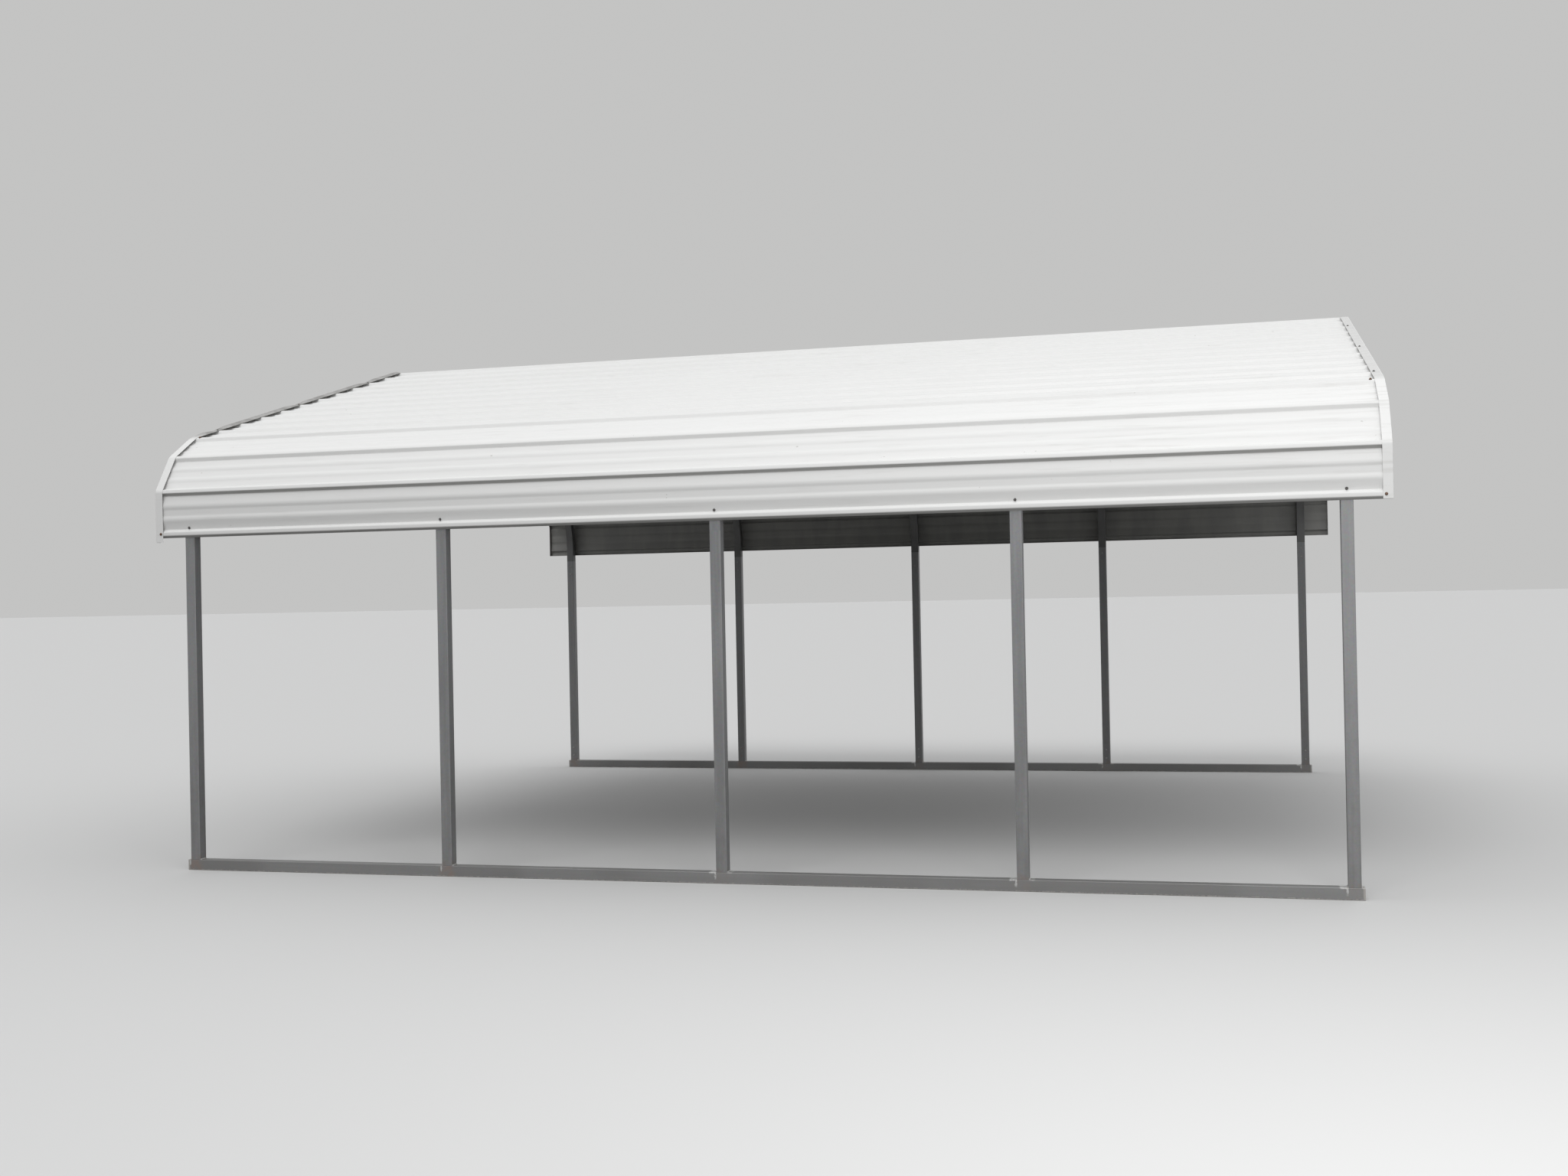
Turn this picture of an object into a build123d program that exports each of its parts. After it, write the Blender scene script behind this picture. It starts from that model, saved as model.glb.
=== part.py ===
from build123d import *
from math import cos, radians, sin, sqrt, tan
import os

os.makedirs("parts", exist_ok=True)

# A steel carport: two base rails, five pairs of posts, five bent bows and a sheet roof.
# X runs along the carport, Y from the near side to the far side, Z up.
# The origin is on the ground in the middle. Lengths in millimetres, angles in degrees.

# Driving dimensions of the frame
frame_width = 5486.4       # over the outer faces of the near and far posts, 18 ft
rail_length = 6096.0       # 20 ft
post_count = 5             # on each side
post_inset = 16.0          # rail's end to the outer face of the end post
post_length = 1708.0
tube_side = 57.15          # square tube, 2 1/4 in, for rails, posts and bows
tube_wall = 2.0
bore_corner = 1.5          # inner radius of a tube's corners
slide_clearance = 0.3      # between a spigot and the tube that slides over it
nipple_height = 150.0      # stub on the rail that the post slides over
spigot_length = 150.0      # reduced end of the bow that slides into the post
bow_leg = 118.0            # straight part of the bow above the post
peak_bend_radius = 300.0   # outer radius of the bow's bend at the peak
brace_length = 1220.0      # top edge of the brace under the peak

# Driving dimensions of the roof
roof_overhang = 152.4      # sheet past each end of the rails, 6 in
slope_angle = 15.35        # of the main slope
first_fold_angle = 57.0    # of the sheet's first folded face, above the skirt
second_fold_angle = 32.0   # of the second folded face
sheet_thickness = 0.45
rib_pitch = 228.6          # between large ribs on the skirt and the folded faces, 9 in
slope_pitches = 11         # large rib pitches on the main slope, each 9 in at this width
panel_pitches = 4          # large rib pitches covered by one panel
rib_height = 15.0
rib_top = 24.0             # width of a large rib's flat crown
rib_foot = 40.0            # width of a large rib at its foot
small_rib_count = 2        # low stiffening ribs between two large ones
small_rib_height = 2.5
small_rib_top = 12.0
small_rib_foot = 22.0

# Driving dimensions of the trim along the roof's ends
trim_cover = 45.0          # leg that lies on the ribs
trim_flange = 38.0         # leg that hangs over the sheet's end
trim_gap = 3.0             # sheet's end to the flange
trim_drop = 24.0           # how far the near left trim hangs below the skirt

# Values that follow from them
half_width = frame_width / 2
roof_length = rail_length + 2 * roof_overhang
post_spacing = (rail_length - 2 * post_inset - tube_side) / (post_count - 1)
post_places = [(number - (post_count - 1) / 2) * post_spacing for number in range(post_count)]
tube_bore = tube_side - 2 * tube_wall
tube_corner = bore_corner + tube_wall
spigot_side = tube_bore - 2 * slide_clearance
spigot_bore = spigot_side - 2 * tube_wall
post_top = tube_side + post_length


def along(angle):
    """A step of one millimetre in the section, at an angle above the horizontal."""
    return Vector(cos(radians(angle)), sin(radians(angle)))


def outward(angle):
    """The direction that faces out of a surface that rises at an angle."""
    return Vector(-sin(radians(angle)), cos(radians(angle)))


# The roof's section: every large rib of the near half, from the skirt's bottom to the ridge.
# A large rib stands on each fold.
eave_angles = [90.0, first_fold_angle, second_fold_angle]
eave_steps = [along(angle) * rib_pitch for angle in eave_angles]
slope_width = (half_width - sum(step.X for step in eave_steps)) / cos(radians(slope_angle))
slope_pitch = slope_width / slope_pitches
run_angles = eave_angles + [slope_angle] * slope_pitches
run_widths = [rib_pitch] * len(eave_angles) + [slope_pitch] * slope_pitches
ridge_rib = len(run_angles)

# The bow's corner bend is the tightest arc that stays inside both folded faces of the sheet.
# Lengths here are taken from the point where the lines of skirt and slope would meet.
bend_tangent = tan(radians((90 - slope_angle) / 2))
fold_corner = Vector(0, eave_steps[1].Y + eave_steps[2].Y - tan(radians(slope_angle))
                     * (eave_steps[1].X + eave_steps[2].X))


def radius_inside(face_angle, face_start):
    """The radius of a corner bend that just touches one folded face from inside."""
    depth = (fold_corner - face_start).dot(outward(face_angle))
    reach = sin(radians(face_angle)) + bend_tangent * cos(radians(face_angle)) - 1
    return depth / reach


bow_radius = max(radius_inside(first_fold_angle, Vector(0, 0)),
                 radius_inside(second_fold_angle, eave_steps[1]))
corner_height = post_top + bow_leg + bow_radius * bend_tangent
skirt_bottom = corner_height - fold_corner.Y - rib_pitch

ribs = [Vector(-half_width, skirt_bottom)]
for angle, width in zip(run_angles, run_widths):
    ribs.append(ribs[-1] + along(angle) * width)


def save(part, name):
    """Name a finished piece and write its file."""
    part.label = name
    export_step(part, f"parts/{name}.step")


def mirrored(points):
    """The same outline on the far side, running on from the ridge."""
    return [Vector(-point.X, point.Y) for point in reversed(points)]


def shifted(points, distance):
    """An open outline moved outwards by a distance, with its corners kept sharp."""
    moved = []
    for index, point in enumerate(points):
        before = point - points[index - 1] if index else points[1] - point
        after = points[index + 1] - point if index + 1 < len(points) else before
        before_out = Vector(-before.Y, before.X).normalized()
        after_out = Vector(-after.Y, after.X).normalized()
        reach = distance / (1 + before_out.dot(after_out))
        moved.append(point + (before_out + after_out) * reach)
    return moved


def small_rib_outline(run):
    """The low ribs on the flat between two large ribs."""
    points = []
    for number in range(1, small_rib_count + 1):
        centre = ribs[run] + along(run_angles[run]) * (run_widths[run] * number / (small_rib_count + 1))
        crown = centre + outward(run_angles[run]) * small_rib_height
        step = along(run_angles[run])
        points += [centre - step * (small_rib_foot / 2), crown - step * (small_rib_top / 2),
                   crown + step * (small_rib_top / 2), centre + step * (small_rib_foot / 2)]
    return points


def large_rib_outline(rib, lift):
    """A large rib, raised by a sheet's thickness where it laps over its neighbour."""
    angle_in = run_angles[max(rib - 1, 0)]
    angle_out = run_angles[rib] if rib < ridge_rib else -slope_angle
    angle_top = (angle_in + angle_out) / 2
    side_run = (rib_foot - rib_top) / 2
    side_length = sqrt(side_run ** 2 + rib_height ** 2)
    half_foot = rib_foot / 2 + lift * side_length / rib_height
    half_top = rib_top / 2 + lift * rib_height / (side_length + side_run)
    crown = ribs[rib] + outward(angle_top) * (rib_height + lift)
    return [ribs[rib] - along(angle_in) * half_foot + outward(angle_in) * lift,
            crown - along(angle_top) * half_top,
            crown + along(angle_top) * half_top,
            ribs[rib] + along(angle_out) * half_foot]


def panel_outline(first_rib, last_rib):
    """The inner outline of one panel of the near half, from its lower to its upper rib."""
    lift = sheet_thickness if first_rib else 0.0
    points = large_rib_outline(first_rib, lift)
    for rib in range(first_rib + 1, last_rib + 1):
        points += small_rib_outline(rib - 1)
        points += large_rib_outline(rib, 0.0)
    return points


def roof_panel(points, name):
    """One roof sheet, as long as the roof, with the given inner outline."""
    with BuildPart() as panel:
        with BuildSketch(Plane.YZ):
            with BuildLine():
                Polyline(*points, *reversed(shifted(points, sheet_thickness)), close=True)
            make_face()
        extrude(amount=roof_length / 2, both=True)
    save(panel.part, name)
    return panel.part


def far_copy(part, name):
    """The same piece mirrored to the far side."""
    with BuildPart() as copy:
        add(part)
        mirror(about=Plane.XZ, mode=Mode.REPLACE)
    save(copy.part, name)


def tube_section(plane, places, side):
    """Square tubes with rounded corners, cut across, one at each place on a plane."""
    bore_side = side - 2 * tube_wall
    with BuildSketch(plane) as section:
        with Locations(*places):
            RectangleRounded(side, side, tube_corner)
            RectangleRounded(bore_side, bore_side, bore_corner, mode=Mode.SUBTRACT)
    return section.sketch


# Base rail: a square tube on the ground, with a stub welded on it for each post
def base_rail(name):
    centre_line = tube_side / 2 - half_width
    stub_places = [(place, centre_line) for place in post_places]
    rail_section = tube_section(Plane.YZ, [(centre_line, tube_side / 2)], tube_side)
    stub_section = tube_section(Plane.XY.offset(tube_side), stub_places, spigot_side)
    with BuildPart() as rail:
        extrude(rail_section, amount=rail_length / 2, both=True)
        extrude(stub_section, amount=nipple_height)
    save(rail.part, name)
    return rail.part


near_rail = base_rail("base_rail_near")
far_copy(near_rail, "base_rail_far")


# Posts: square tubes over the stubs
def post(place, name):
    section = tube_section(Plane.XY.offset(tube_side), [(place, tube_side / 2 - half_width)], tube_side)
    with BuildPart() as upright:
        extrude(section, amount=post_length)
    save(upright.part, name)
    return upright.part


for number, place in enumerate(post_places, start=1):
    near_post = post(place, f"near_post_{number}")
    far_copy(near_post, f"far_post_{number}")


# Bows: one square tube bent over the carport, with both ends reduced to fit in the posts
def arch(foot):
    """The bow's centre line, from the near foot to the far foot."""
    inset = tube_side / 2
    drop = inset / cos(radians(slope_angle))
    corner = Vector(inset - half_width, corner_height + inset * tan(radians(slope_angle)) - drop)
    peak = Vector(0, corner_height + half_width * tan(radians(slope_angle)) - drop)
    points = [Vector(inset - half_width, foot), corner, peak]
    bends = [bow_radius - inset, peak_bend_radius - inset, bow_radius - inset]
    return FilletPolyline(*points, *mirrored(points[:2]), radius=bends)


def bent_bar(place, foot, side, corner):
    """A square bar with rounded corners that follows the bow's centre line."""
    with BuildLine() as line:
        arch(foot)
    with BuildPart() as bar:
        with BuildSketch(Plane.XY.offset(foot)):
            with Locations((place, tube_side / 2 - half_width)):
                RectangleRounded(side, side, corner)
        sweep(path=Plane.YZ.offset(place) * line.line)
    return bar.part


def bow(place, name):
    foot_places = [(place, tube_side / 2 - half_width), (place, half_width - tube_side / 2)]
    outside = bent_bar(place, post_top, tube_side, tube_corner)
    bore = bent_bar(place, post_top + tube_wall, tube_bore, bore_corner)
    with BuildPart() as bent_tube:
        add(outside)
        add(bore, mode=Mode.SUBTRACT)
        with BuildSketch(Plane.XY.offset(post_top - spigot_length)):
            with Locations(*foot_places):
                RectangleRounded(spigot_side, spigot_side, tube_corner)
        extrude(amount=spigot_length)
        with BuildSketch(Plane.XY.offset(post_top - spigot_length)):
            with Locations(*foot_places):
                RectangleRounded(spigot_bore, spigot_bore, bore_corner)
        extrude(amount=spigot_length + tube_wall, mode=Mode.SUBTRACT)
    save(bent_tube.part, name)


# Peak brace: a square tube under the peak, mitred to the undersides of the bow
def peak_brace(place, name):
    slope = tan(radians(slope_angle))
    underside_peak = corner_height + half_width * slope - tube_side / cos(radians(slope_angle))
    top = underside_peak - brace_length / 2 * slope
    bottom = top - tube_side
    half_bottom = (underside_peak - bottom) / slope
    tube = tube_section(Plane.XZ, [(place, (top + bottom) / 2)], tube_side)
    with BuildPart() as brace:
        with BuildSketch(Plane.YZ.offset(place)):
            Polygon((-half_bottom, bottom), (0, underside_peak), (half_bottom, bottom), align=None)
        extrude(amount=tube_side / 2, both=True)
        extrude(tube, amount=half_bottom, both=True, mode=Mode.INTERSECT)
    save(brace.part, name)


for number, place in enumerate(post_places, start=1):
    bow(place, f"bow_{number}")
    peak_brace(place, f"peak_brace_{number}")


# Roof sheets, numbered from the near eave over the ridge to the far eave.
# Each sheet laps over the one below it by one large rib, and the middle one covers the ridge.
laps = sorted(range(ridge_rib - panel_pitches // 2, 0, -panel_pitches))
panel_edges = [0] + laps
panel_count = 2 * len(laps) + 1

for number, (first_rib, last_rib) in enumerate(zip(panel_edges, laps), start=1):
    near_outline = panel_outline(first_rib, last_rib)
    near_panel = roof_panel(near_outline, f"roof_panel_{number}")
    far_copy(near_panel, f"roof_panel_{panel_count + 1 - number}")

half_outline = panel_outline(laps[-1], ridge_rib)[:-2]
roof_panel(half_outline + mirrored(half_outline), f"roof_panel_{len(laps) + 1}")


# End trims: thin angles over the sheet's ends, each folded with the roof from skirt to ridge
def trim_line(drop):
    """The line on the crowns of the ribs that a trim lies along, from its lower end to the ridge."""
    seat = rib_height + 2 * sheet_thickness
    half_crown = rib_top / 2 + sheet_thickness
    points = [ribs[0] + outward(90) * seat - along(90) * (rib_foot / 2 + drop)]
    for fold in range(1, len(eave_angles) + 1):
        fold_angle = (run_angles[fold - 1] + run_angles[fold]) / 2
        crown = ribs[fold] + outward(fold_angle) * seat
        points += [crown - along(fold_angle) * half_crown, crown + along(fold_angle) * half_crown]
    ridge_crown = ribs[ridge_rib] + outward(0) * seat
    return points + [ridge_crown - along(0) * half_crown, ridge_crown]


def end_trim(end, drop, name):
    inside = trim_line(drop)
    outside = shifted(inside, sheet_thickness)
    hem = shifted(inside, -trim_flange)
    flange_plane = Plane.YZ.offset(end * (roof_length / 2 + trim_gap))
    with BuildPart() as trim:
        with BuildSketch(flange_plane):
            with BuildLine():
                Polyline(*outside, *reversed(inside), close=True)
            make_face()
        extrude(amount=-end * trim_cover)
        with BuildSketch(flange_plane):
            with BuildLine():
                Polyline(*outside, *reversed(hem), close=True)
            make_face()
        extrude(amount=end * sheet_thickness)
    save(trim.part, name)
    return trim.part


for end, side_name, near_drop in ((-1, "left", trim_drop), (1, "right", 0.0)):
    end_trim(end, near_drop, f"end_trim_{side_name}_near")
    far_name = f"end_trim_{side_name}_far"
    far_copy(end_trim(end, 0.0, far_name), far_name)

print("sheet's slope pitch", round(slope_pitch, 2), "bow radius", round(bow_radius, 1))
print("skirt bottom rib", round(skirt_bottom, 1), "ridge", round(ribs[-1].Y, 1))
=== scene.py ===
import bmesh
import bpy
from math import atan2, cos, degrees, pi, radians, sin
from mathutils import Matrix, Vector, noise


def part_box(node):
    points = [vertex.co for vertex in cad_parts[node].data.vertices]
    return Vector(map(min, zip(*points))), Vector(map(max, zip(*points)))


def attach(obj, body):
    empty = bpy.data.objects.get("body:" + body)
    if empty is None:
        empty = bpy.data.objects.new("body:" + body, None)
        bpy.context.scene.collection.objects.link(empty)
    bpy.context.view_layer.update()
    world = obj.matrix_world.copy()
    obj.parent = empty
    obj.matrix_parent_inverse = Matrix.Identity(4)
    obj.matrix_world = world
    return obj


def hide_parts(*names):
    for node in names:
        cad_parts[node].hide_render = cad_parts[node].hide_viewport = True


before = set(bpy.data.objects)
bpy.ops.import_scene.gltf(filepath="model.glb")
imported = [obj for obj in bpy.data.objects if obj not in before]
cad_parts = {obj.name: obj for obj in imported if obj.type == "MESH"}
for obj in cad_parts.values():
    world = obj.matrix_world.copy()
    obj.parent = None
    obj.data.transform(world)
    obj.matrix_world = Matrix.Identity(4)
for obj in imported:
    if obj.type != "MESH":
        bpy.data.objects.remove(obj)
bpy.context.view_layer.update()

# The view.
# The camera stands at eye height before the near side, to the right of the middle,
# and looks a little to the left and up. Floor and lamps are plain and soft.
# Lengths are in metres, the camera's turns in radians and the roof's angles in degrees.
camera_place = (2.5015, -10.745, 1.432)
camera_heading = 0.26237
camera_pitch = 0.0047
camera_roll = 0.02001
camera_lens = 38.472
floor_reach = 300.0
floor_colour = (0.61, 0.61, 0.605, 1.0)
bounce_colour = (0.11, 0.11, 0.108, 1.0)
backdrop_colour = (0.55, 0.55, 0.545, 1.0)
skylight_colour = (0.985, 0.99, 1.0, 1.0)
skylight_even = 0.36
skylight_lobe = 0.75
skylight_middle = (0.03, 0.0, 1.0)
key_direction = (-0.08, -0.65, 0.75)
key_strength = 0.8
key_softness = radians(30)
fill_place = (3.6, -8.2, 3.0)
fill_target = (2.6, -2.7, 1.9)
fill_size = 2.5
fill_power = 100.0


def finished(shape, name, material):
    """Turn a modelled shape into a piece with its material."""
    mesh = bpy.data.meshes.new(name)
    shape.to_mesh(mesh)
    shape.free()
    mesh.materials.append(material)
    piece = bpy.data.objects.new(name, mesh)
    bpy.context.scene.collection.objects.link(piece)
    return piece


def blank_material(name):
    """A material with nothing but its output."""
    material = bpy.data.materials.new(name)
    material.use_nodes = True
    material.node_tree.nodes.clear()
    return material


def node(tree, kind, inputs=None, **settings):
    """Add a shader node. An input is a value or another node's socket."""
    made = tree.nodes.new("ShaderNode" + kind)
    for name, value in settings.items():
        setattr(made, name, value)
    for name, value in (inputs or {}).items():
        if isinstance(value, bpy.types.NodeSocket):
            tree.links.new(value, made.inputs[name])
        else:
            made.inputs[name].default_value = value
    return made


def worked(tree, operation, first, second=0.0, third=0.0):
    """The result of one sum, from a maths node."""
    return node(tree, "Math", {0: first, 1: second, 2: third}, operation=operation).outputs[0]


def mixed(tree, amount, first, second, blend="MIX"):
    """Mix two colours by an amount."""
    made = node(tree, "Mix", {0: amount, 6: first, 7: second}, data_type="RGBA", blend_type=blend)
    return made.outputs[2]


def pale_to_camera(tree):
    """One for what the camera, a reflection or glass sees, and nothing for light that is cast."""
    rays = node(tree, "LightPath").outputs
    seen = worked(tree, "MAXIMUM", rays["Is Camera Ray"], rays["Is Glossy Ray"])
    return worked(tree, "MAXIMUM", seen, rays["Is Transmission Ray"])


camera_data = bpy.data.cameras.new("camera")
camera_data.lens = camera_lens
camera = bpy.data.objects.new("camera", camera_data)
camera.matrix_world = (Matrix.Translation(camera_place) @ Matrix.Rotation(camera_heading, 4, "Z")
                       @ Matrix.Rotation(camera_pitch, 4, "X")
                       @ Matrix.Rotation(camera_roll, 4, "Y")
                       @ Matrix.Rotation(radians(90), 4, "X"))
bpy.context.scene.collection.objects.link(camera)
bpy.context.scene.camera = camera

floor_material = blank_material("floor")
floor_tree = floor_material.node_tree
floor_shade = mixed(floor_tree, pale_to_camera(floor_tree), bounce_colour, floor_colour)
floor_shader = node(floor_tree, "BsdfPrincipled", {"Base Color": floor_shade, "Roughness": 0.9,
                                                   "Specular IOR Level": 0.1})
node(floor_tree, "OutputMaterial", {"Surface": floor_shader.outputs[0]})
floor_shape = bmesh.new()
bmesh.ops.create_grid(floor_shape, x_segments=2, y_segments=2, size=floor_reach)
floor = finished(floor_shape, "floor", floor_material)

world = bpy.data.worlds.new("studio")
world.use_nodes = True
sky_tree = world.node_tree
sky_tree.nodes.clear()
toward = node(sky_tree, "TexCoord").outputs["Generated"]
facing = node(sky_tree, "VectorMath", {0: toward, 1: skylight_middle}, operation="DOT_PRODUCT")
lobe = worked(sky_tree, "MAXIMUM", facing.outputs["Value"])
skylight = worked(sky_tree, "MULTIPLY_ADD", lobe, skylight_lobe, skylight_even)
sky = node(sky_tree, "Background", {"Color": skylight_colour, "Strength": skylight})
backdrop = node(sky_tree, "Background", {"Color": backdrop_colour, "Strength": 1.0})
sky_or_backdrop = node(sky_tree, "MixShader", {0: pale_to_camera(sky_tree), 1: sky.outputs[0],
                                               2: backdrop.outputs[0]})
node(sky_tree, "OutputWorld", {"Surface": sky_or_backdrop.outputs[0]})
bpy.context.scene.world = world
bpy.context.scene.view_settings.view_transform = "Standard"

key_data = bpy.data.lights.new("key_lamp", "SUN")
key_data.energy = key_strength
key_data.angle = key_softness
key_lamp = bpy.data.objects.new("key_lamp", key_data)
key_lamp.rotation_mode = "QUATERNION"
key_lamp.rotation_quaternion = Vector(key_direction).to_track_quat("Z", "Y")
bpy.context.scene.collection.objects.link(key_lamp)

fill_data = bpy.data.lights.new("fill_lamp", "AREA")
fill_data.energy = fill_power
fill_data.size = fill_size
fill_lamp = bpy.data.objects.new("fill_lamp", fill_data)
fill_aim = (Vector(fill_place) - Vector(fill_target)).to_track_quat("Z", "Y")
fill_lamp.matrix_world = Matrix.Translation(fill_place) @ fill_aim.to_matrix().to_4x4()
bpy.context.scene.collection.objects.link(fill_lamp)

# The tube frame.
# Rails, posts, bows and braces are square steel tube, galvanised as strip and then rolled and
# seam welded, so the grey has faint streaks along the tube. The feet are a little rusty, and the
# rails are scuffed along the ground and daubed with zinc paint beside each post.
# Under the roof the bows and braces are darkened in blotches with painted shade.
tube_side = 0.05715
tube_corner = 0.0035
worn_corner = 0.0012
zinc_light = (0.265, 0.268, 0.272, 1.0)
zinc_dark = (0.215, 0.218, 0.222, 1.0)
edge_colour = (0.36, 0.365, 0.37, 1.0)
scuff_colour = (0.43, 0.41, 0.385, 1.0)
rust_colour = (0.28, 0.19, 0.15, 1.0)
rail_dust_colour = (0.250, 0.247, 0.240, 1.0)
dull_rail_colour = (0.14, 0.135, 0.13, 1.0)
splash_colour = (0.155, 0.148, 0.138, 1.0)
# The colour of the painted shade on the bows and braces under the roof.
bow_painted_shade_colour = (0.090, 0.089, 0.086, 1.0)
zinc_paint_colour = (0.62, 0.62, 0.61, 1.0)
full_share = 0.35
ragged_depth = 0.016
rail_rust_reach = 0.060
scuff_top, scuff_full = 0.007, 0.001
pale_end_start, pale_end_full = -0.012, -0.006
foot_rust_height = 0.045
splash_top, splash_full = 1.6, 0.1
# Across the carport: where the bows' painted shade starts, past the near legs, and where it is
# full.
unshaded_leg_side, shaded_bow_side = -2.65, -2.45
# Zinc paint on the rails, as a drip, a smear and a faint dab: how far its middle is from the post's
# centre, its reach, the heights where it starts and is full, and its strength.
paint_marks = ((-0.033, 0.006, 0.016, 0.034, 1.0), (-0.048, 0.024, 0.047, 0.056, 1.0),
               (0.043, 0.018, 0.050, 0.056, 0.4))
rail_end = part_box("base_rail_near")[1].x
rail_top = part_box("near_post_1")[0].z
post_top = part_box("near_post_1")[1].z
post_centre = (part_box("near_post_3")[0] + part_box("near_post_3")[1]) / 2
post_pitch = (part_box("near_post_2")[0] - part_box("near_post_1")[0]).x
post_places = [post_pitch * number for number in (-2, -1, 0, 1, 2)]
both_sides = ((1, "near"), (-1, "far"))


def eased(tree, value, low, high, to_low=0.0, to_high=1.0):
    """Ease a value from one range into another."""
    ranges = {"Value": value, "From Min": low, "From Max": high,
              "To Min": to_low, "To Max": to_high}
    return node(tree, "MapRange", ranges, interpolation_type="SMOOTHSTEP").outputs[0]


def times(tree, first, second):
    """One value times another."""
    return worked(tree, "MULTIPLY", first, second)


def around(tree, value, middle, reach):
    """One around a middle, for a share of the reach, falling to nothing at the reach."""
    off = worked(tree, "ABSOLUTE", worked(tree, "SUBTRACT", value, middle))
    return eased(tree, off, reach, reach * full_share)


def cloud(tree, coordinates, scale, detail, stretch=(1, 1, 1)):
    """Noise, drawn out along the axes whose stretch is below one."""
    mapping = node(tree, "Mapping", {"Vector": coordinates, "Scale": stretch})
    made = node(tree, "TexNoise", {"Vector": mapping.outputs[0], "Scale": scale, "Detail": detail})
    return made.outputs["Fac"]


def tube_places(tree):
    """Coordinates, the distances from the nearest post and the tubes' centre line, and height."""
    place = node(tree, "TexCoord").outputs["Object"]
    axes = node(tree, "SeparateXYZ", {0: place}).outputs
    from_post = worked(tree, "WRAP", axes[0], post_pitch / 2, -post_pitch / 2)
    from_line = worked(tree, "SUBTRACT", worked(tree, "ABSOLUTE", axes[1]), abs(post_centre.y))
    return place, from_post, from_line, axes[2]


def edge_mask(tree, first, second):
    """One on the rounded edges of a tube that runs across two measured directions."""
    off = [worked(tree, "ABSOLUTE", value) for value in (first, second)]
    nearer = worked(tree, "MINIMUM", *off)
    return eased(tree, nearer, tube_side / 2 - tube_corner, tube_side / 2 - worn_corner)


def surface(tree, inputs, relief, strength, depth):
    """Finish a material: its shader, with a fine relief, and its output."""
    bump = node(tree, "Bump", {"Height": relief, "Strength": strength, "Distance": depth})
    shader = node(tree, "BsdfPrincipled", {**inputs, "Normal": bump.outputs[0]})
    node(tree, "OutputMaterial", {"Surface": shader.outputs[0]})


def shaken(tree, ragged, value):
    """A distance shaken by noise, so that what it bounds has a ragged edge."""
    lowered = worked(tree, "SUBTRACT", value, ragged_depth / 2)
    return worked(tree, "MULTIPLY_ADD", ragged, ragged_depth, lowered)


def galvanised(name, grain, marks):
    """Zinc-coated tube, with its grain along the tube. Marks add the wear of one kind of tube, and
    on the bows painted shade.
    """
    material = blank_material(name)
    tree = material.node_tree
    place, from_post, from_line, height = tube_places(tree)
    streaks = cloud(tree, place, 60.0, 3.0, grain)
    patches = cloud(tree, place, 1.6, 3.0)
    spangle = node(tree, "TexVoronoi", {"Vector": place, "Scale": 110.0}).outputs["Color"]
    tone = worked(tree, "MULTIPLY_ADD", streaks, 0.5, times(tree, patches, 0.5))
    colour = mixed(tree, eased(tree, tone, 0.36, 0.64), zinc_dark, zinc_light)
    colour = mixed(tree, 0.05, colour, spangle, "OVERLAY")
    colour = marks(tree, colour, place, from_post, from_line, height)
    surface(tree, {"Base Color": colour, "Metallic": 0.30,
                   "Roughness": eased(tree, tone, 0.3, 0.7, 0.45, 0.58)}, streaks, 0.10, 0.002)
    return material


def rail_marks(tree, colour, place, from_post, from_line, height):
    """Pale corners, dull stretches, scuffs, rust under the posts and zinc paint beside them."""
    ragged = cloud(tree, place, 90.0, 4.0)
    blots = cloud(tree, place, 28.0, 4.0)
    corners = edge_mask(tree, from_line, worked(tree, "SUBTRACT", height, tube_side / 2))
    colour = mixed(tree, times(tree, corners, 0.5), colour, edge_colour)
    colour = mixed(tree, 0.55, colour, rail_dust_colour)
    dull = eased(tree, cloud(tree, place, 1.2, 2.0), 0.42, 0.58, 0.30, 0.0)
    colour = mixed(tree, dull, colour, dull_rail_colour)
    lengthways = node(tree, "SeparateXYZ", {0: place}).outputs[0]
    blotchy = eased(tree, blots, 0.38, 0.62, 0.1, 0.40)
    rust = times(tree, around(tree, from_post, 0.0, rail_rust_reach), blotchy)
    rust = times(tree, rust, eased(tree, lengthways, -post_pitch, 0.0, 1.0, 0.3))
    colour = mixed(tree, rust, colour, rust_colour)
    scuff = eased(tree, shaken(tree, ragged, height), scuff_top, scuff_full, 0.0, 0.75)
    colour = mixed(tree, scuff, colour, scuff_colour)
    from_end = worked(tree, "SUBTRACT", worked(tree, "ABSOLUTE", lengthways), rail_end)
    pale_end = eased(tree, from_end, pale_end_start, pale_end_full, 0.0, 0.8)
    colour = mixed(tree, pale_end, colour, scuff_colour)
    beside_post = shaken(tree, ragged, from_post)
    paint = 0.0
    for middle, reach, start, full, strength in paint_marks:
        mark = times(tree, around(tree, beside_post, middle, reach),
                     eased(tree, height, start, full, 0.0, strength))
        paint = worked(tree, "MAXIMUM", mark, paint)
    paint = times(tree, paint, eased(tree, ragged, 0.35, 0.55, 0.30, 0.9))
    paint = times(tree, paint, eased(tree, lengthways, -post_pitch, -post_pitch / 2, 0.15, 1.0))
    return mixed(tree, paint, colour, zinc_paint_colour)


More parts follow.
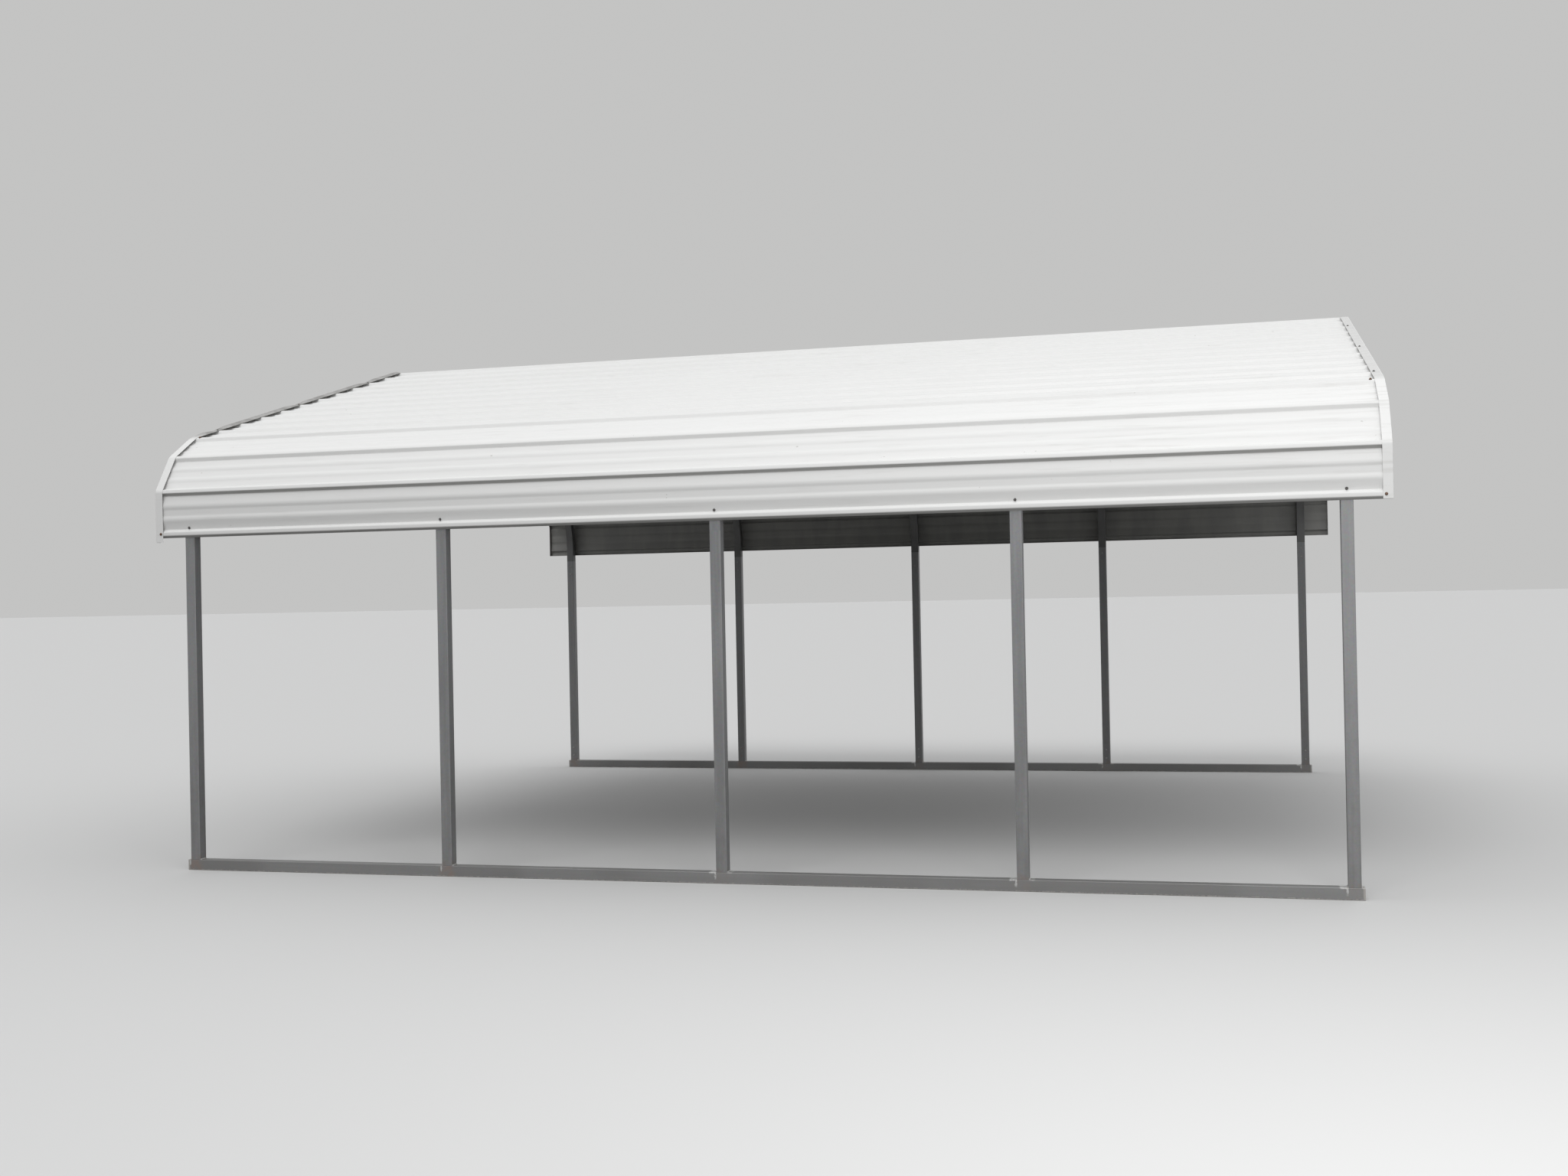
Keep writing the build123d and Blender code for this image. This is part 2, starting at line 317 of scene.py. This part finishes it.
def post_marks(tree, colour, place, from_post, from_line, height):
    """Paler rounded corners, rust at the foot, and splashes that thin out upwards."""
    corners = edge_mask(tree, from_post, from_line)
    colour = mixed(tree, times(tree, corners, 0.4), colour, edge_colour)
    blots = cloud(tree, place, 34.0, 4.0, (1, 1, 0.6))
    foot = eased(tree, height, rail_top + foot_rust_height, rail_top)
    rust = times(tree, times(tree, foot, eased(tree, blots, 0.40, 0.62)), 0.35)
    colour = mixed(tree, rust, colour, rust_colour)
    low_down = eased(tree, height, splash_top, splash_full)
    splash = times(tree, low_down, eased(tree, blots, 0.40, 0.75, 0.18, 0.38))
    return mixed(tree, splash, colour, splash_colour)


def bow_painted_shade_marks(tree, colour, place, from_post, from_line, height):
    """Zinc darkened in blotches as painted shade under the roof, and left as it is on the near
    legs.
    """
    # Painted shade: blotchy darkening of the zinc everywhere under the roof, fading out on the near
    # legs.
    bow_shade = eased(tree, cloud(tree, place, 5.0, 5.0), 0.35, 0.75, 0.60, 0.85)
    across = node(tree, "SeparateXYZ", {0: place}).outputs[1]
    bow_shade = times(tree, bow_shade, eased(tree, across, unshaded_leg_side, shaded_bow_side))
    return mixed(tree, bow_shade, colour, bow_painted_shade_colour)


rail_zinc = galvanised("rail_zinc", (0.04, 1, 1), rail_marks)
post_zinc = galvanised("post_zinc", (1, 1, 0.04), post_marks)
bow_zinc = galvanised("bow_zinc", (1, 0.15, 0.15), bow_painted_shade_marks)
tube_finishes = (("base_rail", rail_zinc), ("near_post", post_zinc), ("far_post", post_zinc),
                 ("bow", bow_zinc), ("peak_brace", bow_zinc))
for name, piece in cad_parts.items():
    for kind, finish in tube_finishes:
        if name.startswith(kind):
            piece.data.materials.clear()
            piece.data.materials.append(finish)

# The welds.
# The stubs of the rails and the ends of the peak braces are welded. The beads show as rippled
# lines of weld beside each foot and across each brace's tip, and are daubed with zinc paint.
bead_radius = 0.0045
bead_length = 0.050
bead_sides = 8
bead_off = 0.001
ripple_length = 0.006
ripple_rings = 4
ripple_depth = 0.20
bead_unevenness = 0.15
uneven_scale = 300
uneven_shift = 7
bead_end_width = 0.45
daub_size = (0.0045, 0.0013, 0.016)
daub_beside = 0.004
daub_below = 0.017
daub_colour = (0.52, 0.52, 0.515, 1.0)
scale_colour = (0.20, 0.16, 0.13, 1.0)


def in_place(piece):
    """Fix a new piece to the carport."""
    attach(piece, "root")


def weld_paint(name):
    """Zinc paint brushed over weld metal, worn through to brown scale here and there."""
    material = blank_material(name)
    tree = material.node_tree
    place = node(tree, "TexCoord").outputs["Object"]
    worn = cloud(tree, place, 150.0, 4.0)
    colour = mixed(tree, eased(tree, worn, 0.56, 0.66), daub_colour, scale_colour)
    surface(tree, {"Base Color": colour, "Metallic": 0.25, "Roughness": 0.55}, worn, 0.4, 0.0006)
    return material


def weld_bead(shape, middle, turn, length):
    """Lay a bead of weld: a rod with a swelling for each drop of weld, drawn in at its ends."""
    rings = round(length / ripple_length) * ripple_rings
    rod = bmesh.new()
    bmesh.ops.create_cone(rod, cap_ends=True, segments=bead_sides, radius1=bead_radius,
                          radius2=bead_radius, depth=length)
    sides = [edge for edge in rod.edges if edge.calc_length() > length / 2]
    bmesh.ops.subdivide_edges(rod, edges=sides, cuts=rings - 1)
    for vert in rod.verts:
        from_end = length / 2 - abs(vert.co.z)
        ripple = 1 - ripple_depth + ripple_depth * abs(sin(pi * vert.co.z / ripple_length))
        uneven = bead_unevenness * noise.noise(vert.co * uneven_scale + middle * uneven_shift)
        draw_in = bead_end_width + (1 - bead_end_width) * min(from_end / bead_radius, 1.0)
        vert.co.xy *= (ripple + uneven) * draw_in
    bmesh.ops.transform(rod, matrix=Matrix.Translation(middle) @ turn, verts=rod.verts)
    bead = bpy.data.meshes.new("bead")
    rod.to_mesh(bead)
    rod.free()
    shape.from_mesh(bead)
    bpy.data.meshes.remove(bead)


def weld_group(shape, name):
    """Make one piece of a group of welds."""
    for face in shape.faces:
        face.smooth = True
    in_place(finished(shape, name, weld_metal))


weld_metal = weld_paint("weld_metal")
along_y = Matrix.Rotation(radians(90), 4, "X")
along_x = Matrix.Rotation(radians(90), 4, "Y")
for side, side_name in both_sides:
    foot_welds = bmesh.new()
    for place in post_places:
        for edge in (-1, 1):
            bead_x = place + edge * (tube_side / 2 + bead_off)
            bead_middle = Vector((bead_x, side * post_centre.y, rail_top + bead_off))
            weld_bead(foot_welds, bead_middle, along_y, bead_length)
        daub = Matrix.Translation((place - tube_side / 2 - daub_beside,
                                   side * (post_centre.y - tube_side / 2), rail_top - daub_below))
        bmesh.ops.create_icosphere(foot_welds, subdivisions=2, radius=1.0,
                                   matrix=daub @ Matrix.Diagonal((*daub_size, 1.0)))
    weld_group(foot_welds, side_name + "_foot_welds")
brace_welds = bmesh.new()
brace_low, brace_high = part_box("peak_brace_3")
for place in post_places:
    for tip in (brace_low.y, brace_high.y):
        weld_bead(brace_welds, Vector((place, tip, brace_low.z + bead_off)), along_x, bead_length)
weld_group(brace_welds, "brace_welds")

# The tube screws.
# Self-drilling screws with a hex head on a round flange fix each post to the stub below it and
# to the bow above it. They sit on the faces that look into the carport.
flange_radius = 0.0070
flange_top_radius = 0.0063
flange_height = 0.0011
flange_sides = 12
head_radius = 0.0046
head_height = 0.0042
head_chamfer = 0.0006
seal_radius = 0.00728
screw_ends = (0.045, 0.110)
tube_screw_turns = (1, 9)
screw_zinc_colour = (0.34, 0.34, 0.335, 1.0)
screw_rust_colour = (0.16, 0.085, 0.05, 1.0)
seal_colour = (0.035, 0.035, 0.035, 1.0)


def screw_metal(name, colour, rust_share, metallic):
    """Plated or painted screw heads, some of them rusted."""
    material = blank_material(name)
    tree = material.node_tree
    place = node(tree, "TexCoord").outputs["Object"]
    blots = cloud(tree, place, 260.0, 3.0)
    which = cloud(tree, place, 9.0, 0.0)
    chosen = eased(tree, which, 1.0 - rust_share, 1.1 - rust_share)
    rusted = times(tree, eased(tree, blots, 0.35, 0.6), chosen)
    shade = mixed(tree, rusted, colour, screw_rust_colour)
    surface(tree, {"Base Color": shade, "Metallic": metallic, "Roughness": 0.5}, blots, 0.2, 0.0003)
    return material


def drive_screw(shape, seat, seal_height=0.0):
    """Stand a screw head on its seat: a rubber seal where there is one, the flange, and the hex."""
    height = 0.0
    layers = ((flange_sides, seal_radius, seal_radius, seal_height),
              (flange_sides, flange_radius, flange_top_radius, flange_height),
              (6, head_radius, head_radius, head_height))
    for sides, low_radius, high_radius, depth in layers:
        if depth:
            raised = seat @ Matrix.Translation((0, 0, height + depth / 2))
            verts = bmesh.ops.create_cone(shape, cap_ends=True, segments=sides, radius1=low_radius,
                                          radius2=high_radius, depth=depth, matrix=raised)["verts"]
            faces = {face for vert in verts for face in vert.link_faces}
            for face in faces:
                face.material_index = 1 if depth == seal_height else 0
            height += depth
    top = max(faces, key=lambda face: (seat.inverted() @ face.calc_center_median()).z)
    bmesh.ops.bevel(shape, geom=top.edges[:], offset=head_chamfer, offset_type="OFFSET",
                    affect="EDGES", segments=1, profile=0.5, material=-1)


def own_turn(along_roof, height, turns):
    """The turn of one screw, in radians for each metre along and up, so that no two stand alike."""
    return Matrix.Rotation(along_roof * turns[0] + height * turns[1], 4, "Z")


def screw_group(shape, name, metal):
    """Make one piece of a group of screws."""
    piece = finished(shape, name, metal)
    piece.data.materials.append(seal_rubber)
    in_place(piece)


seal_rubber = screw_metal("seal_rubber", seal_colour, 0.0, 0.0)
tube_screw_metal = screw_metal("tube_screw_metal", screw_zinc_colour, 0.45, 0.4)
screw_heights = [rail_top + end for end in screw_ends] + [post_top - end for end in screw_ends]
for side, side_name in both_sides:
    inner_face = side * (post_centre.y + tube_side / 2)
    facing_in = Matrix.Rotation(radians(-90 * side), 4, "X")
    tube_screws = bmesh.new()
    for place in post_places:
        for height in screw_heights:
            turn = own_turn(place, height, tube_screw_turns)
            seat = Matrix.Translation((place, inner_face, height)) @ facing_in @ turn
            drive_screw(tube_screws, seat)
    screw_group(tube_screws, side_name + "_tube_screws", tube_screw_metal)

# The roof sheets.
# Seven sheets of thin steel, roll formed with large and small ribs and enamelled white. The first
# and the last are folded into the rounded eaves. Each laps over its neighbour by one large rib,
# and between the bows the flats bulge a little.
# Large ribs are counted from 0 at the skirt's foot to the ridge, and a run is the flat above a rib.
rib_pitch = 0.2286
fold_angles = (90.0, 57.0, 32.0)
slope_angle = 15.35
slope_pitches = 11
lap_ribs = (4, 8, 12)
rib_height = 0.015
rib_top = 0.020
rib_foot = 0.043
small_ribs = 2
small_rib_height = 0.0034
small_rib_top = 0.012
small_rib_foot = 0.038
small_rib_spacing = 0.31
sheet_thickness = 0.00045
cut_edge_limit = 1.5 * sheet_thickness
bend_reach = 0.004
pan_bows = (0.011, 0.004, 0.002)
bulge_height = 0.0009
bulge_scale = 1.7
# Painted shade on faces that look down: where it starts, how fast it grows, and its strength.
painted_shade_start = 0.3
painted_shade_gain = 4.0
painted_shade_strength = 0.52
rib_grime_reach, rib_grime_full = 0.040, 0.020
settled_fade = 0.05
settled_edge, settled_full = 0.0025, -0.0005
sheet_steps = 64
smooth_limit = radians(35)
enamel_white = (0.80, 0.80, 0.79, 1.0)
grime_colour = (0.46, 0.45, 0.42, 1.0)
settled_colour = (0.11, 0.105, 0.095, 1.0)
# The colour of the painted shade under the ribs.
painted_shade_colour = (0.22, 0.215, 0.20, 1.0)
# The grey coat inside the sheets, painted darker than its own grey as painted shade under the roof.
backing_and_painted_shade_colour = (0.30, 0.30, 0.29, 1.0)
# A paler copy of that coat, painted light for the gap under the right strips.
painted_light_backing_colour = (0.74, 0.74, 0.73, 1.0)
cut_edge_colour = (0.36, 0.33, 0.30, 1.0)


def along(angle):
    """A step of one metre in the roof's section, at an angle above the horizontal."""
    return Vector((cos(radians(angle)), sin(radians(angle))))


def outward(angle):
    """The direction out of a surface that rises at an angle."""
    return Vector((-sin(radians(angle)), cos(radians(angle))))


half_width = -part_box("near_post_1")[0].y
roof_low, roof_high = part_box("roof_panel_4")
roof_length = roof_high.x - roof_low.x
eaves_width = rib_pitch * sum(along(angle).x for angle in fold_angles)
slope_width = (half_width - eaves_width) / along(slope_angle).x
run_angles = list(fold_angles) + [slope_angle] * slope_pitches
run_widths = [rib_pitch] * len(fold_angles) + [slope_width / slope_pitches] * slope_pitches
ridge_rib = len(run_angles)
ribs = [Vector((0.0, roof_high.z - rib_height - sheet_thickness))]
for angle, width in zip(reversed(run_angles), reversed(run_widths)):
    ribs.insert(0, ribs[0] - along(angle) * width)


def rib_lean(number):
    """The angle of a large rib's crown, halfway between the flats beside it."""
    if number == ridge_rib:
        return 0.0
    return (run_angles[max(number - 1, 0)] + run_angles[number]) / 2


def large_rib(number, lift):
    """The four bends of a large rib, raised where its sheet laps over another."""
    angle_in = run_angles[max(number - 1, 0)]
    angle_out = run_angles[number] if number < ridge_rib else -slope_angle
    side_run = (rib_foot - rib_top) / 2
    side_length = Vector((side_run, rib_height)).length
    half_foot = rib_foot / 2 + lift * side_length / rib_height
    half_top = rib_top / 2 + lift * rib_height / (side_length + side_run)
    crown = ribs[number] + outward(rib_lean(number)) * (rib_height + lift)
    return [ribs[number] - along(angle_in) * half_foot + outward(angle_in) * lift,
            crown - along(rib_lean(number)) * half_top, crown + along(rib_lean(number)) * half_top,
            ribs[number] + along(angle_out) * half_foot]


def small_rib_bends(run):
    """The bends of the small ribs on a flat, which bows outward a little at the eaves."""
    step, out = along(run_angles[run]), outward(run_angles[run])
    bow = pan_bows[run] if run < len(pan_bows) else 0.0
    bends = []
    for number in range(small_ribs):
        share = 0.5 + small_rib_spacing * (number - (small_ribs - 1) / 2)
        bowed = out * (4 * bow * share * (1 - share))
        centre = ribs[run] + step * (run_widths[run] * share) + bowed
        crown = centre + out * small_rib_height
        bends += [centre - step * (small_rib_foot / 2), crown - step * (small_rib_top / 2),
                  crown + step * (small_rib_top / 2), centre + step * (small_rib_foot / 2)]
    return bends


def sheet_section(first_rib, last_rib):
    """The inner face of a sheet in section, from its lower to its upper rib."""
    section = large_rib(first_rib, sheet_thickness if first_rib else 0.0)
    for rib in range(first_rib + 1, last_rib + 1):
        section += small_rib_bends(rib - 1) + large_rib(rib, 0.0)
    return section


def enamel(name, run_grime, rib_grime, slope_grime):
    """White baked enamel: grime run down, caught by ribs and settled on the slope; painted shade
    below ribs.
    """
    material = blank_material(name)
    tree = material.node_tree
    place = node(tree, "TexCoord").outputs["Object"]
    runs = cloud(tree, place, 60.0, 4.0, (0.06, 1, 1))
    patches = cloud(tree, place, 1.1, 4.0)
    specks = cloud(tree, place, 38.0, 2.0, (0.6, 1, 1))
    patchy = eased(tree, patches, 0.40, 0.70, 0.2, 1.0)
    run_down = times(tree, eased(tree, runs, 0.50, 0.80), patchy)
    from_rib = node(tree, "Attribute", attribute_name="from_rib").outputs["Fac"]
    caught = times(tree, eased(tree, from_rib, rib_grime_reach, rib_grime_full),
                   eased(tree, patches, 0.3, 0.7, 0.3, 1.0))
    grime = times(tree, run_down, run_grime)
    grime = worked(tree, "MAXIMUM", grime, times(tree, caught, rib_grime))
    grime = worked(tree, "MAXIMUM", grime, eased(tree, specks, 0.765, 0.80, 0.0, 0.6))
    axes = node(tree, "SeparateXYZ", {0: place}).outputs
    slope_start = ribs[len(fold_angles)].y
    settled = times(tree, eased(tree, axes[2], slope_start, slope_start + settled_fade),
                    eased(tree, cloud(tree, place, 16.0, 5.0), 0.30, 0.65, 0.75, 1.0))
    from_end = worked(tree, "SUBTRACT", worked(tree, "ABSOLUTE", axes[0]), roof_length / 2)
    settled = times(tree, settled, eased(tree, from_end, settled_edge, settled_full))
    settled = times(tree, settled, slope_grime)
    colour = mixed(tree, settled, mixed(tree, grime, enamel_white, grime_colour), settled_colour)
    # Painted shade: faces that look down, such as the undersides of the ribs, are painted darker.
    painted_underside_shade = node(tree, "Attribute", attribute_name="painted_underside_shade").outputs["Fac"]
    colour = mixed(tree, times(tree, painted_underside_shade, painted_shade_strength), colour, painted_shade_colour)
    surface(tree, {"Base Color": colour, "Specular IOR Level": 0.3,
                   "Roughness": eased(tree, settled, 0.0, 0.6, 0.52, 0.90)},
            cloud(tree, place, 420.0, 1.0), 0.05, 0.0005)
    return material


def backing(name, colour, metallic):
    """The grey coat inside, or the bare metal of a cut edge, a little blotchy."""
    material = blank_material(name)
    tree = material.node_tree
    place = node(tree, "TexCoord").outputs["Object"]
    blotches = cloud(tree, place, 9.0, 4.0, (1, 0.3, 0.3))
    shade = mixed(tree, eased(tree, blotches, 0.3, 0.7, 0.0, 0.35), colour, grime_colour)
    shader = node(tree, "BsdfPrincipled", {"Base Color": shade, "Metallic": metallic,
                                           "Roughness": 0.6})
    node(tree, "OutputMaterial", {"Surface": shader.outputs[0]})
    return material


sheet_enamel = enamel("sheet_enamel", 0.30, 0.05, 0.01)
# The sheets' inner coat: real grey primer, darkened further as painted shade inside the roof.
sheet_backing_and_painted_shade = backing("sheet_backing_and_painted_shade", backing_and_painted_shade_colour, 0.0)
sheet_edge = backing("sheet_edge", cut_edge_colour, 0.4)


def give_gauge(shape):
    """Add the sheet's thickness on the upper side of an inner face, which takes material 1.
    Cut edges take material 2."""
    bmesh.ops.reverse_faces(shape, faces=shape.faces)
    inner_faces = shape.faces[:]
    bmesh.ops.solidify(shape, geom=inner_faces, thickness=sheet_thickness)
    for face in shape.faces:
        face.smooth = True
        if min(edge.calc_length() for edge in face.edges) < cut_edge_limit:
            face.material_index = 2
    for face in inner_faces:
        face.material_index = 1


def sheet_piece(shape, name, node_name, outer_material, inner_material):
    """Make a piece of formed sheet, with flats that shade flat, and put it in the node's place."""
    piece = finished(shape, name, outer_material)
    piece.data.materials.append(inner_material)
    piece.data.materials.append(sheet_edge)
    piece.data.set_sharp_from_angle(angle=smooth_limit)
    even = piece.modifiers.new("even_flats", "WEIGHTED_NORMAL")
    even.keep_sharp = True
    in_place(piece)
    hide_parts(node_name)


def roof_sheet(section, panel, far_side=False):
    """Roll one sheet: bend its section, draw it out along the roof, bulge it and give it gauge."""
    shape = bmesh.new()
    from_rib = shape.verts.layers.float.new("from_rib")
    painted_underside_shade = shape.verts.layers.float.new("painted_underside_shade")
    line = [shape.verts.new((-roof_length / 2, point.x, point.y)) for point in section]
    for pair in zip(line, line[1:]):
        shape.edges.new(pair)
    bmesh.ops.bevel(shape, geom=line[1:-1], offset=bend_reach, offset_type="OFFSET",
                    affect="VERTICES", segments=2, profile=0.5, material=-1)
    for vert in shape.verts:
        mirrored = Vector((-abs(vert.co.y), vert.co.z))
        vert[from_rib] = min((mirrored - rib).length for rib in ribs)
    bmesh.ops.spin(shape, geom=shape.verts[:] + shape.edges[:], cent=(0, 0, 0), axis=(1, 0, 0),
                   dvec=(roof_length / sheet_steps, 0, 0), angle=0, steps=sheet_steps,
                   use_merge=False, use_duplicate=False)
    if far_side:
        bmesh.ops.scale(shape, vec=(1, -1, 1), verts=shape.verts)
    bmesh.ops.recalc_face_normals(shape, faces=shape.faces)
    if sum(face.normal.z for face in shape.faces) < 0:
        bmesh.ops.reverse_faces(shape, faces=shape.faces)
    shape.normal_update()
    for vert in shape.verts:
        flat = min(max((vert[from_rib] - rib_foot / 2) / rib_height, 0.0), 1.0)
        between_bows = sin(pi * vert.co.x / post_pitch) ** 2
        swell = 0.5 + 0.5 * noise.noise(vert.co * bulge_scale)
        vert.co += vert.normal * (bulge_height * flat * between_bows * swell)
        # Painted shade: the more a face looks down, the darker the enamel is painted there.
        vert[painted_underside_shade] = min(max(painted_shade_gain * (-vert.normal.z - painted_shade_start), 0.0), 1.0)
    give_gauge(shape)
    sheet_piece(shape, "white_sheet_" + panel[-1], panel, sheet_enamel, sheet_backing_and_painted_shade)


sheet_bottoms = (0,) + lap_ribs
sheet_count = 2 * len(lap_ribs) + 1
for number, (first_rib, last_rib) in enumerate(zip(sheet_bottoms, lap_ribs), start=1):
    side_section = sheet_section(first_rib, last_rib)
    roof_sheet(side_section, f"roof_panel_{number}")
    roof_sheet(side_section, f"roof_panel_{sheet_count + 1 - number}", far_side=True)
near_half = sheet_section(lap_ribs[-1], ridge_rib)[:-2]
ridge_section = near_half + [Vector((-point.x, point.y)) for point in reversed(near_half)]
roof_sheet(ridge_section, f"roof_panel_{len(lap_ribs) + 1}")

# The sheet screws.
# The same screws with a rubber seal hold the sheets to the bows, through the flats just above a
# rib. Those on the slope have white heads, and those on the skirt are plain and have gone dark.
skirt_screw_up = 0.0315
slope_screw_up = 0.040
slope_screw_runs = (3, 5, 6, 7, 8, 9, 10, 11, 12, 13)
seal_height = 0.0018
roof_screw_turns = (5, 7)
skirt_screw_colour = (0.115, 0.11, 0.105, 1.0)
slope_screw_colour = (0.70, 0.70, 0.69, 1.0)


def flat_seat(run, up):
    """A point on the flat above a large rib, some way up from the rib, and the flat's angle."""
    foot = ribs[run] + along(run_angles[run]) * (rib_foot / 2)
    flat = small_rib_bends(run)[0] - foot
    angle = degrees(atan2(flat.y, flat.x))
    return foot + along(angle) * (up - rib_foot / 2) + outward(angle) * sheet_thickness, angle


def roof_seat(place, point, angle, side):
    """A seat on the roof, with its Z axis out of the sheet and a turn of its own for each screw."""
    lean = Matrix.Rotation(radians(side * angle), 4, "X")
    turn = own_turn(place, point.y, roof_screw_turns)
    return Matrix.Translation((place, side * point.x, point.y)) @ lean @ turn


skirt_screw_metal = screw_metal("skirt_screw_metal", skirt_screw_colour, 0.35, 0.2)
slope_screw_enamel = screw_metal("slope_screw_enamel", slope_screw_colour, 0.12, 0.0)
for side, side_name in both_sides:
    skirt_screws = bmesh.new()
    slope_screws = bmesh.new()
    for place in post_places:
        seat = roof_seat(place, *flat_seat(0, skirt_screw_up), side)
        drive_screw(skirt_screws, seat, seal_height)
        for run in slope_screw_runs:
            seat = roof_seat(place, *flat_seat(run, slope_screw_up), side)
            drive_screw(slope_screws, seat, seal_height)
    screw_group(skirt_screws, side_name + "_skirt_screws", skirt_screw_metal)
    screw_group(slope_screws, side_name + "_slope_screws", slope_screw_enamel)

# The end trims.
# Folded strips of the same white sheet close the two ends of the roof. Screws pull each strip flat
# on the crowns of the ribs, and between them, up the slope, its outer half stands a little proud.
# The left strips have sprung further, and are dirtier, than the right ones.
trim_cover = 0.045
trim_flange = 0.038
trim_gap = 0.003
trim_drop = 0.024
trim_shelf = 0.020
trim_rises = {"left": 0.009, "right": 0.001}
trim_flat_reach = 0.030
trim_spring_reach = 0.085
trim_bend_reach = 0.0025
trim_screw_ribs = (0, 4, 8, 12)
fold_screw_rib = 3
trim_screw_in = 0.031
fold_screw_in = 0.064
trim_steps_per_pitch = 4


def out_of_corner(first_angle, second_angle):
    """The move of a corner between two surfaces that moves each of them out by one metre."""
    first, second = outward(first_angle), outward(second_angle)
    return (first + second) / (1 + first.dot(second))


def trim_points(drop, most_rise):
    """The line that a trim follows on the ribs' crowns: each point's place, way out and rise."""
    seat = rib_height + 2 * sheet_thickness
    half_crown = rib_top / 2 + sheet_thickness
    points = [(ribs[0] + outward(90) * seat - along(90) * (rib_foot / 2 + drop), outward(90), 0.0)]
    for fold in range(1, len(fold_angles) + 1):
        lean = rib_lean(fold)
        crown = ribs[fold] + outward(lean) * seat
        for end, flat_angle in ((-1, run_angles[fold - 1]), (1, run_angles[fold])):
            corner = crown + along(lean) * (end * half_crown)
            points.append((corner, out_of_corner(lean, flat_angle), 0.0))
    start = points[-1][0]
    ridge_crown = ribs[ridge_rib] + outward(0) * seat
    top = ridge_crown - along(0) * half_crown
    held = [ribs[rib] + outward(slope_angle) * seat for rib in (len(fold_angles),) + lap_ribs]
    steps = slope_pitches * trim_steps_per_pitch
    for step in range(1, steps):
        point = start.lerp(top, step / steps)
        off = min((point - crown).length for crown in held)
        spring = min(max((off - trim_flat_reach) / (trim_spring_reach - trim_flat_reach), 0.0), 1.0)
        points.append((point, outward(slope_angle), most_rise * spring))
    points.append((top, out_of_corner(slope_angle, 0), most_rise))
    return points + [(ridge_crown, outward(0), most_rise)]


def drawn_out(shape, order, edges, moves):
    """Extrude a line of edges and move its points, in order, by their own moves."""
    made = bmesh.ops.extrude_edge_only(shape, edges=edges)["geom"]
    verts = [part for part in made if isinstance(part, bmesh.types.BMVert)]
    for vert, move in zip(sorted(verts, key=lambda vert: vert[order]), moves):
        vert.co += move
    return [part for part in made if isinstance(part, bmesh.types.BMEdge)]


def end_trim(end, side, drop, most_rise):
    """Fold one strip: draw its line out to the corner, and down past the sheets' ends."""
    line_points = trim_points(drop, most_rise)
    strip = bmesh.new()
    order = strip.verts.layers.int.new("order")
    line = []
    for number, (point, way, rise) in enumerate(line_points):
        vert = strip.verts.new((end * (trim_corner - trim_cover), point.x, point.y))
        vert[order] = number
        line.append(vert)
    inner_line = [strip.edges.new(pair) for pair in zip(line, line[1:])]
    ways = [Vector((0, way.x, way.y)) for point, way, rise in line_points]
    rises = [rise for point, way, rise in line_points]
    slant = Vector((end * (trim_cover - trim_shelf), 0, 0))
    shelf = Vector((end * trim_shelf, 0, 0))
    up_and_out = [slant + way * rise for way, rise in zip(ways, rises)]
    down = [way * -(trim_flange + rise) for way, rise in zip(ways, rises)]
    shelf_line = drawn_out(strip, order, inner_line, up_and_out)
    corner_line = drawn_out(strip, order, shelf_line, [shelf] * len(ways))
    drawn_out(strip, order, corner_line, down)
    bmesh.ops.bevel(strip, geom=shelf_line + corner_line, offset=trim_bend_reach,
                    offset_type="OFFSET", affect="EDGES", segments=2, profile=0.5, material=-1)
    if side < 0:
        bmesh.ops.scale(strip, vec=(1, -1, 1), verts=strip.verts)
    bmesh.ops.recalc_face_normals(strip, faces=strip.faces)
    if sum(face.normal.z for face in strip.faces) < 0:
        bmesh.ops.reverse_faces(strip, faces=strip.faces)
    give_gauge(strip)
    return strip


def trim_seat(rib, end, side, inwards, sheets):
    """A seat on a rib's crown, some way in from the trim's corner, on a number of sheets."""
    point = ribs[rib] + outward(rib_lean(rib)) * (rib_height + sheets * sheet_thickness)
    return roof_seat(end * (trim_corner - inwards), point, rib_lean(rib), side)


trim_corner = roof_length / 2 + trim_gap
trim_enamels = {"left": enamel("left_trim_enamel", 0.35, 0.0, 0.72),
                "right": enamel("right_trim_enamel", 0.35, 0.0, 0.20)}
# Painted light: the right strips' undersides are paler than the left ones' so the shadow in their
# gap reads lighter.
trim_backings = {"left": sheet_backing_and_painted_shade,
                 "right": backing("painted_light_backing", painted_light_backing_colour, 0.0)}
trim_screw_zinc = screw_metal("trim_screw_zinc", skirt_screw_colour, 0.3, 0.2)
trim_screw_rust = screw_metal("trim_screw_rust", screw_rust_colour, 1.0, 0.0)
for end, end_name in ((-1, "left"), (1, "right")):
    for side, side_name in both_sides:
        where = f"{end_name}_{side_name}"
        drop = trim_drop if where == "left_near" else 0.0
        strip = end_trim(end, side, drop, trim_rises[end_name])
        sheet_piece(strip, "white_trim_" + where, "end_trim_" + where, trim_enamels[end_name],
                    trim_backings[end_name])
        plain_screws = bmesh.new()
        rusty_screws = bmesh.new()
        for rib in trim_screw_ribs:
            seat = trim_seat(rib, end, side, trim_screw_in, 3)
            drive_screw(plain_screws if rib else rusty_screws, seat, seal_height)
        seat = trim_seat(fold_screw_rib, end, side, fold_screw_in, 1)
        drive_screw(rusty_screws, seat, seal_height)
        screw_group(plain_screws, "trim_screws_" + where, trim_screw_zinc)
        screw_group(rusty_screws, "rusty_screws_" + where, trim_screw_rust)
